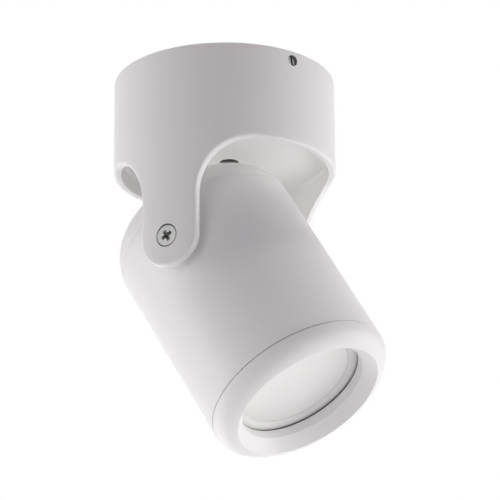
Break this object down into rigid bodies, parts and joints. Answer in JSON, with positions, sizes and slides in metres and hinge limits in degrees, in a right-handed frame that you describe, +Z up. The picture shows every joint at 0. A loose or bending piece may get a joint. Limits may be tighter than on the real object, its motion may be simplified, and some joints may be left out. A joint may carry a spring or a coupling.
{
  "type": "surface mounted ceiling spotlight",
  "caption": "White tubular ceiling spotlight: ears cut from a round canopy carry a tilting cylindrical head with a twist-lock lamp behind a screwed front ring.",
  "frame": {"origin": "centre of the canopy's ceiling face, on the ceiling", "axes": "+Z up into the ceiling along the canopy's axis; the pivot axis lies along Y, and the head leans towards +X at rest"},
  "size_m": [0.099, 0.08, 0.14],
  "materials": {
    "white_powder_coat": "matt white powder coat",
    "zinc_plated_steel": "bright zinc plate",
    "screw_steel": "satin nickel plate",
    "blackened_steel": "black oxide",
    "brass": "plain",
    "nickel_plate": "nickel plate",
    "nylon": "natural nylon",
    "terminal_polyamide": "matt",
    "steatite": "unglazed ceramic",
    "mica": "pressed mica sheet",
    "grommet_rubber": "white silicone rubber",
    "gasket_rubber": "black silicone rubber",
    "lamp_white": "satin white",
    "frosted_diffuser": "frosted",
    "board_white": "white solder mask",
    "board_green": "green solder mask",
    "led_yellow": "phosphor gel",
    "capacitor_sleeve": "shrink sleeve"
  },
  "bodies": {
    "base": {"canopy": "white_powder_coat", "ceiling_plate": "zinc_plated_steel", "canopy_set_screws": "blackened_steel", "terminal_block": "terminal_polyamide", "terminal_tubes": "brass", "terminal_screws": "zinc_plated_steel", "terminal_fixing_screws": "zinc_plated_steel", "earth_washer": "brass", "earth_screw": "zinc_plated_steel"},
    "head": {"head_housing": "white_powder_coat", "rear_grommet": "grommet_rubber", "pivot_screws": "screw_steel", "friction_washers": "nylon", "spring_washers": "zinc_plated_steel", "pivot_nuts": "zinc_plated_steel", "lampholder_bracket": "zinc_plated_steel", "lampholder": "steatite", "lampholder_insulator": "mica", "lampholder_contacts": "nickel_plate", "lampholder_screws": "zinc_plated_steel"},
    "lamp": {"lamp_cap": "lamp_white", "lamp_pins": "nickel_plate", "lamp_housing": "lamp_white", "lamp_lens": "frosted_diffuser", "led_board": "board_white", "led_chips": "led_yellow", "driver_board": "board_green", "driver_capacitor": "capacitor_sleeve"},
    "gasket": {"lamp_gasket": "gasket_rubber"},
    "ring": {"front_ring": "white_powder_coat"}
  },
  "joints": [
    {"name": "head_tilt", "type": "hinge", "parent": "base", "child": "head", "pos_m": [0, 0, -0.0704], "axis": [0, -1, 0], "range_deg": [-121, 59]},
    {"name": "lamp_twist", "type": "hinge", "parent": "head", "child": "lamp", "pos_m": [0, 0, -0.0704], "axis": [0.515, 0, -0.8572], "range_deg": [0, 22]},
    {"name": "ring_travel", "type": "slide", "parent": "head", "child": "gasket", "axis": [0.515, 0, -0.8572], "range_m": [0, 0.006]},
    {"name": "ring_turn", "type": "hinge", "parent": "gasket", "child": "ring", "pos_m": [0, 0, -0.0704], "axis": [0.515, 0, -0.8572], "range_deg": [0, 1440]}
  ],
  "couplings": [
    {"joint": "ring_travel", "follows": "ring_turn", "m_per_rad": 0.00023873}
  ]
}
